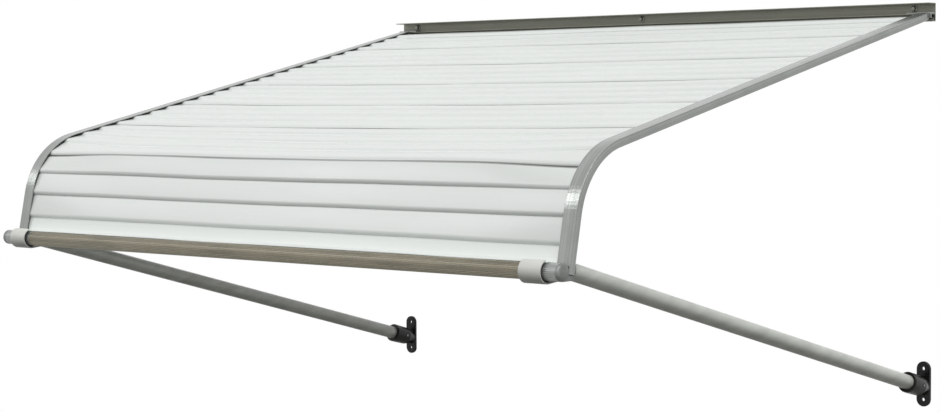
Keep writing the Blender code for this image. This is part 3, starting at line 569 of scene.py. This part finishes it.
def tumbled_casting(colours):
    """Die-cast aluminium left grey from tumbling: even matte grey with small dents and pits."""
    colour = colours.casting
    material, tree, shader, coords = new_finish("tumbled_casting", colour, 0.7, 0.46)
    # Dents from the tumbling stones are 2.4 mm wide, and the grey wanders over 8 mm
    dents = node(
        tree, VORONOI, {"Vector": coords, "Scale": 420.0}, feature="SMOOTH_F1"
    )["Distance"]
    cloud = node(tree, NOISE, {"Vector": coords, "Scale": 130.0, "Detail": 6.0})["Fac"]
    base = layered(tree, rgba(colour, 0.82), (
        (cloud, 0.30, 0.70, 1.0, rgba(colour, 1.18)),
        (edge_wear(tree, coords, 0.0007, 0.90), 0.0, 1.0, 0.6, rgba(linear("#C3C5C2"))),
    ))
    coat(
        tree, shader, base, (cloud, 0.30, 0.70, 0.38, 0.54),
        ((dents, 0.00025, 0.25), (cloud, 0.0003, 0.25)),
    )
    return material


def black_coat(colours):
    """Semi-gloss black coat over a casting: soft grain below, rubbed grey along the edges."""
    colour = colours.black
    material, tree, shader, coords = new_finish("black_coated_casting", colour, 0.0, 0.28)
    shader.inputs["Coat Weight"].default_value = 0.1
    shader.inputs["Coat Roughness"].default_value = 0.2
    shader.inputs["Specular IOR Level"].default_value = 0.2
    # The sand grain under the coat is 1.5 mm, and the coat pools over 14 mm
    grain = node(tree, NOISE, {"Vector": coords, "Scale": 650.0, "Detail": 3.0})["Fac"]
    cloud = node(tree, NOISE, {"Vector": coords, "Scale": 70.0, "Detail": 5.0})["Fac"]
    base = layered(tree, rgba(colour, 0.45), (
        (cloud, 0.30, 0.70, 1.0, rgba(colour, 1.55)),
        (edge_wear(tree, coords, 0.0009, 0.88), 0.0, 1.0, 0.55, rgba(linear("#7C7D79"))),
    ))
    coat(
        tree, shader, base, (cloud, 0.30, 0.70, 0.20, 0.42),
        ((grain, 0.00025, 0.45), (cloud, 0.0009, 0.35)),
    )
    return material


def zinc_plate(colours):
    """Zinc-plated steel: bright, faintly yellow and mottled by the bath."""
    colour = colours.zinc
    material, tree, shader, coords = new_finish("zinc_plated_steel", colour, 1.0, 0.30)
    # The mottle is 1.1 mm across and the stains 4 mm
    mottle = node(tree, VORONOI, {"Vector": coords, "Scale": 900.0})["Distance"]
    stain = node(tree, NOISE, {"Vector": coords, "Scale": 260.0, "Detail": 5.0})["Fac"]
    base = layered(tree, rgba(colour, 0.82), (
        (mottle, 0.0, 0.8, 1.0, rgba(colour, 1.18)),
        (stain, 0.52, 0.75, 0.6, rgba(linear("#6B685E"))),
    ))
    coat(tree, shader, base, (stain, 0.30, 0.70, 0.22, 0.48), ((mottle, 0.00005, 0.30),))
    return material


def liner_rubber(colours):
    """Black moulded rubber: dull, with a fine grain and a dusty bloom."""
    colour = colours.rubber
    material, tree, shader, coords = new_finish("moulded_rubber", colour, 0.0, 0.72)
    # The grain is 0.9 mm and the bloom lies in patches of 8 mm
    grain = node(tree, NOISE, {"Vector": coords, "Scale": 1100.0, "Detail": 3.0})["Fac"]
    bloom = node(tree, NOISE, {"Vector": coords, "Scale": 120.0, "Detail": 5.0})["Fac"]
    base = layered(tree, rgba(colour), ((bloom, 0.45, 0.75, 0.4, rgba(linear("#3C3C3A"))),))
    coat(tree, shader, base, (bloom, 0.30, 0.70, 0.62, 0.82), ((grain, 0.00006, 0.40),))
    return material


FINISHES = {
    "baked_enamel_sheet": enamelled_sheet,
    "mill_aluminium_rail": mill_rail,
    "satin_aluminium_tube": satin_tube,
    "bronze_anodised_extrusion": bronze_anodised,
    "moulded_vinyl": moulded_vinyl,
    "tumbled_casting": tumbled_casting,
    "black_coated_casting": black_coat,
    "zinc_plated_steel": zinc_plate,
    "moulded_rubber": liner_rubber,
}


def finish(name):
    """The named finish, made on first use."""
    made = bpy.data.materials.get(name)
    return made or FINISHES[name](bpy.context.scene.canopy_finish)


def dress(obj, name):
    """Gives a piece one finish all over."""
    obj.data.materials.clear()
    obj.data.materials.append(finish(name))
    for face in obj.data.polygons:
        face.material_index = 0


def select_only(obj):
    """Leaves one object selected and active, in object mode."""
    if bpy.context.mode != "OBJECT":
        bpy.ops.object.mode_set(mode="OBJECT")
    bpy.ops.object.select_all(action="DESELECT")
    obj.select_set(True)
    bpy.context.view_layer.objects.active = obj


def merged_copy(name, source):
    """A copy of a solid with its loose triangles joined and flat areas made whole."""
    copy = bpy.data.objects.new(name, NODES[source].data.copy())
    bpy.context.scene.collection.objects.link(copy)
    select_only(copy)
    bpy.ops.object.mode_set(mode="EDIT")
    bpy.ops.mesh.select_all(action="SELECT")
    bpy.ops.mesh.customdata_custom_splitnormals_clear()
    bpy.ops.mesh.remove_doubles(threshold=WELD)
    bpy.ops.mesh.dissolve_limited(angle_limit=FLAT)
    bpy.ops.object.mode_set(mode="OBJECT")
    return copy


def settle(piece, source):
    """Puts a finished piece in place of its solid."""
    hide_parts(source)
    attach(piece, BODY)


class CANOPY_OT_slat_panels(bpy.types.Operator):
    """Lays thin, slightly wavy enamelled sheet over the seven panels of slats"""

    bl_idname = "canopy.slat_panels"
    bl_label = "Slat panels"

    def middle(self, sheet, travel, height):
        """The point on the line away from the rails: flat to the last joint, then a flat front."""
        before, knee = LAST_JOINTS
        if travel <= before or travel >= FLAT_END:
            return off_line(travel, height)
        over = height - TUCKED
        anchor = off_line(before, TUCKED)
        if travel <= knee:
            return anchor + (travel - before) * along(sheet.droop) + over * away(sheet.droop)
        corner = anchor + (knee - before) * along(sheet.droop)
        foot = off_line(FLAT_END, TUCKED)
        share = (travel - knee) / (FLAT_END - knee)
        run = (foot - corner).normalized()
        out = Vector((0.0, run.z, -run.y))
        bulge = 4.0 * sheet.front_bow * share * (1.0 - share)
        return corner.lerp(foot, share) + (over + bulge) * out

    def stray(self, sheet, spot, half, index):
        """Where a point of the true sheet lies on the real, slightly slack one."""
        before, knee = LAST_JOINTS
        across = min(abs(spot.x) / half, 1.0)
        travel, height = on_line(spot)
        held = Vector((0.0, spot.y, spot.z))
        free = self.middle(sheet, travel, height)
        moved = held.lerp(free, eased((half - abs(spot.x)) / sheet.hold))
        # The sag grows down the slope and is gone at the flat front's foot
        down = min(max(travel / before, 0.0), 1.0)
        fade = 1.0 - eased((travel - knee) / (FLAT_END - knee))
        moved.z -= sheet.sag * (1.0 - across ** 2) * math.sin(0.5 * math.pi * down) * fade
        # The ripple dies out over the last eighth of the width at each rail
        wave = math.sin(LONG_WAVE * spot.x + LONG_STEP * index)
        wave += SHORT_SHARE * math.sin(SHORT_WAVE * spot.x + SHORT_TURN * travel)
        moved.z += sheet.ripple * wave * min(1.0, 4.0 * (1.0 - across))
        moved.x = spot.x
        return moved

    def unroll(self, mesh, start):
        """Flat coordinates: metres across the panel, and metres down it from its upper joint."""
        flat = mesh.uv_layers.new(name="sheet")
        for loop in mesh.loops:
            spot = mesh.vertices[loop.vertex_index].co
            flat.data[loop.index].uv = (spot.x, on_line(spot)[0] - start)

    def execute(self, context):
        sheet = context.scene.canopy_sheet
        for index in range(1, 8):
            source = "slat_panel_%d" % index
            low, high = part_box(source)
            half = (high.x - low.x) / 2
            piece = merged_copy("enamel_" + source, source)
            bpy.ops.object.mode_set(mode="EDIT")
            for column in range(1, sheet.columns):
                bpy.ops.mesh.select_all(action="SELECT")
                bpy.ops.mesh.bisect(
                    plane_co=(low.x + 2 * half * column / sheet.columns, 0.0, 0.0),
                    plane_no=(1.0, 0.0, 0.0),
                )
            bpy.ops.object.mode_set(mode="OBJECT")
            self.unroll(piece.data, PANEL_LENGTH * (index - 1) - JOINT_BACK)
            for vert in piece.data.vertices:
                vert.co = self.stray(sheet, vert.co, half, index)
            bpy.ops.object.shade_smooth_by_angle(angle=math.radians(35))
            dress(piece, "baked_enamel_sheet")
            settle(piece, source)
        return {"FINISHED"}


class CANOPY_OT_bar_clamps(bpy.types.Operator):
    """Rounds the edges of the two vinyl clamps"""

    bl_idname = "canopy.bar_clamps"
    bl_label = "Bar clamps"

    def execute(self, context):
        for side in SIDES:
            source = "bar_clamp_" + side
            piece = merged_copy("vinyl_" + source, source)
            bevel = piece.modifiers.new("Rounded edges", "BEVEL")
            bevel.width = context.scene.canopy_edge.clamp_edge
            bevel.segments = 3
            bevel.angle_limit = math.radians(45)
            bpy.ops.object.modifier_apply(modifier=bevel.name)
            bpy.ops.object.shade_smooth_by_angle(angle=math.radians(40))
            dress(piece, "moulded_vinyl")
            settle(piece, source)
        return {"FINISHED"}


class CANOPY_OT_castings(bpy.types.Operator):
    """Softens the cast corners and wall brackets as a mould leaves them"""

    bl_idname = "canopy.castings"
    bl_label = "Castings and brackets"

    def execute(self, context):
        grid = context.scene.canopy_edge.casting_grid
        kinds = (
            ("corner_casting_", "tumbled_casting", "grey_casting"),
            ("wall_bracket_", "black_coated_casting", "black_casting"),
        )
        for start, material, slot in kinds:
            for side in SIDES:
                source = start + side
                piece = merged_copy("cast_" + source, source)
                remesh = piece.modifiers.new("Cast skin", "REMESH")
                remesh.mode = "VOXEL"
                remesh.voxel_size = grid
                remesh.adaptivity = 0.0
                soften = piece.modifiers.new("Soft edges", "SMOOTH")
                soften.factor = 0.5
                soften.iterations = 3
                bpy.ops.object.modifier_apply(modifier=remesh.name)
                bpy.ops.object.modifier_apply(modifier=soften.name)
                bpy.ops.object.shade_smooth()
                dress(piece, material)
                settle(piece, source)
        return {"FINISHED"}


class CANOPY_OT_bare_metal(bpy.types.Operator):
    """Gives the rails, clips and arms their drawn aluminium"""

    bl_idname = "canopy.bare_metal"
    bl_label = "Rails, clips and arms"

    def execute(self, context):
        for side in SIDES:
            dress(NODES["side_rail_" + side], "mill_aluminium_rail")
            dress(NODES["rail_clip_" + side], "mill_aluminium_rail")
            dress(NODES["support_arm_" + side], "satin_aluminium_tube")
            dress(NODES["bar_cap_" + side], "tumbled_casting")
        return {"FINISHED"}


class CANOPY_OT_bronze(bpy.types.Operator):
    """Gives the header and the front bar their bronze anodising"""

    bl_idname = "canopy.bronze"
    bl_label = "Header and front bar"

    def execute(self, context):
        for name in ("wall_header", "front_bar"):
            dress(NODES[name], "bronze_anodised_extrusion")
        return {"FINISHED"}


class CANOPY_OT_fasteners(bpy.types.Operator):
    """Plates the screws and rivets and blackens the clamp liners"""

    bl_idname = "canopy.fasteners"
    bl_label = "Screws, rivets and liners"

    def execute(self, context):
        for name, solid in NODES.items():
            if name.startswith(("header_screw", "clip_rivet", "set_screw")):
                dress(solid, "zinc_plated_steel")
            elif name.startswith("clamp_liner"):
                dress(solid, "moulded_rubber")
        return {"FINISHED"}


class CANOPY_OT_stage(bpy.types.Operator):
    """Sets up the pale floor, the soft lamps and the camera"""

    bl_idname = "canopy.stage"
    bl_label = "Stage"

    def seen_directly(self, tree):
        """1 for rays from the camera and for those that come by way of gloss or glass."""
        path = node(tree, "ShaderNodeLightPath")
        seen = path["Is Camera Ray"]
        for kind in ("Is Glossy Ray", "Is Transmission Ray"):
            seen = node(tree, MATH, {0: seen, 1: path[kind]}, operation="MAXIMUM")[0]
        return seen

    def make_floor(self, stage):
        """A round floor that fades out into the white room, so that no edge or horizon shows."""
        bpy.ops.object.select_all(action="DESELECT")
        bpy.ops.mesh.primitive_circle_add(
            vertices=96, radius=stage.floor_reach, fill_type="NGON",
            location=(0.0, 0.0, -stage.floor_depth),
        )
        floor = bpy.context.object
        floor.name = "studio_floor"
        bpy.ops.object.transform_apply(location=True, rotation=True, scale=True)
        bounce = linear(FLOOR_BOUNCE)
        material, tree, shader, coords = new_finish("pale_studio_floor", bounce, 0.0, 0.9)
        shader.inputs["Specular IOR Level"].default_value = 0.0
        colour = node(
            tree, MIX,
            {SHARE: self.seen_directly(tree), UNDER: rgba(bounce), OVER: rgba(linear(FLOOR_SEEN))},
            data_type="RGBA",
        )[MIXED]
        tree.links.new(colour, shader.inputs["Base Color"])
        level = node(
            tree, VECTOR_MATH, {0: coords, 1: (1.0, 1.0, 0.0)}, operation="MULTIPLY"
        )[0]
        reach = node(tree, VECTOR_MATH, {0: level}, operation="LENGTH")["Value"]
        faded = node(
            tree, RANGE,
            {"Value": reach, "From Min": FADE_START * stage.floor_reach,
             "From Max": FADE_END * stage.floor_reach},
            interpolation_type="SMOOTHSTEP",
        )[0]
        clear = node(tree, "ShaderNodeBsdfTransparent")[0]
        shown = node(
            tree, "ShaderNodeMixShader", {0: faded, 1: shader.outputs[0], 2: clear}
        )[0]
        tree.links.new(shown, tree.nodes["Material Output"].inputs["Surface"])
        floor.data.materials.append(material)

    def make_world(self, scene, stage):
        """Even light from all round, white where it is seen directly."""
        world = bpy.data.worlds.new("studio_room")
        scene.world = world
        world.use_nodes = True
        tree = world.node_tree
        background = tree.nodes["Background"]
        seen = self.seen_directly(tree)
        level = node(tree, RANGE, {"Value": seen, "To Min": stage.sky, "To Max": 1.0})[0]
        tree.links.new(level, background.inputs["Strength"])
        background.inputs["Color"].default_value = (1.0, 1.0, 1.0, 1.0)

    def make_lamp(self, scene, name, share, aim, width):
        """A far lamp as wide as a soft box. A share of 1 lights a face square to it fully."""
        lamp = bpy.data.lights.new(name, "SUN")
        lamp.energy = math.pi * share
        lamp.angle = width
        holder = bpy.data.objects.new(name, lamp)
        holder.rotation_euler = Vector(aim).to_track_quat("-Z", "Y").to_euler()
        scene.collection.objects.link(holder)

    def make_camera(self, scene, stage):
        """A camera at the photograph's angle, from its turn, dip and roll."""
        camera = bpy.data.cameras.new("photo_camera")
        camera.sensor_width = 36.0
        camera.lens = stage.focal
        holder = bpy.data.objects.new("photo_camera", camera)
        scene.collection.objects.link(holder)
        ahead = Vector((
            -math.sin(stage.azimuth) * math.cos(stage.dip),
            math.cos(stage.azimuth) * math.cos(stage.dip),
            -math.sin(stage.dip),
        ))
        level = Vector((math.cos(stage.azimuth), math.sin(stage.azimuth), 0.0))
        upright = level.cross(ahead)
        right = math.cos(stage.roll) * level + math.sin(stage.roll) * upright
        up = -math.sin(stage.roll) * level + math.cos(stage.roll) * upright
        turn = Matrix((right, up, -ahead)).transposed().to_4x4()
        holder.matrix_world = Matrix.Translation(Vector(stage.eye)) @ turn
        scene.camera = holder

    def execute(self, context):
        scene = context.scene
        stage = scene.canopy_stage
        scene.view_settings.view_transform = "Standard"
        self.make_floor(stage)
        self.make_world(scene, stage)
        self.make_lamp(scene, "key_lamp", stage.key, KEY_AIM, KEY_WIDTH)
        self.make_lamp(scene, "fill_lamp", stage.fill, FILL_AIM, FILL_WIDTH)
        self.make_camera(scene, stage)
        return {"FINISHED"}


OPERATORS = (
    CANOPY_OT_stage,
    CANOPY_OT_slat_panels,
    CANOPY_OT_bare_metal,
    CANOPY_OT_bronze,
    CANOPY_OT_bar_clamps,
    CANOPY_OT_castings,
    CANOPY_OT_fasteners,
)


class CANOPY_PT_looks(bpy.types.Panel):
    """Lists the pieces that can be dressed and their settings"""

    bl_label = "Door canopy"
    bl_idname = "CANOPY_PT_looks"
    bl_space_type = "VIEW_3D"
    bl_region_type = "UI"
    bl_category = "Canopy"

    def draw(self, context):
        layout = self.layout
        for operator in OPERATORS:
            layout.operator(operator.bl_idname)
        for name in SETTINGS:
            box = layout.box()
            settings = getattr(context.scene, name)
            for field in settings.bl_rna.properties:
                if not field.is_readonly and field.identifier != "name":
                    box.prop(settings, field.identifier)


SETTINGS = {
    "canopy_finish": CanopyFinishSettings,
    "canopy_sheet": CanopySheetSettings,
    "canopy_edge": CanopyEdgeSettings,
    "canopy_stage": CanopyStageSettings,
}


def register():
    for kind in (*SETTINGS.values(), *OPERATORS, CANOPY_PT_looks):
        bpy.utils.register_class(kind)
    for name, kind in SETTINGS.items():
        setattr(bpy.types.Scene, name, bpy.props.PointerProperty(type=kind))


def unregister():
    for name in SETTINGS:
        delattr(bpy.types.Scene, name)
    for kind in reversed((*SETTINGS.values(), *OPERATORS, CANOPY_PT_looks)):
        bpy.utils.unregister_class(kind)


def main():
    register()
    for operator in OPERATORS:
        group, action = operator.bl_idname.split(".")
        getattr(getattr(bpy.ops, group), action)()


if __name__ == "__main__":
    main()
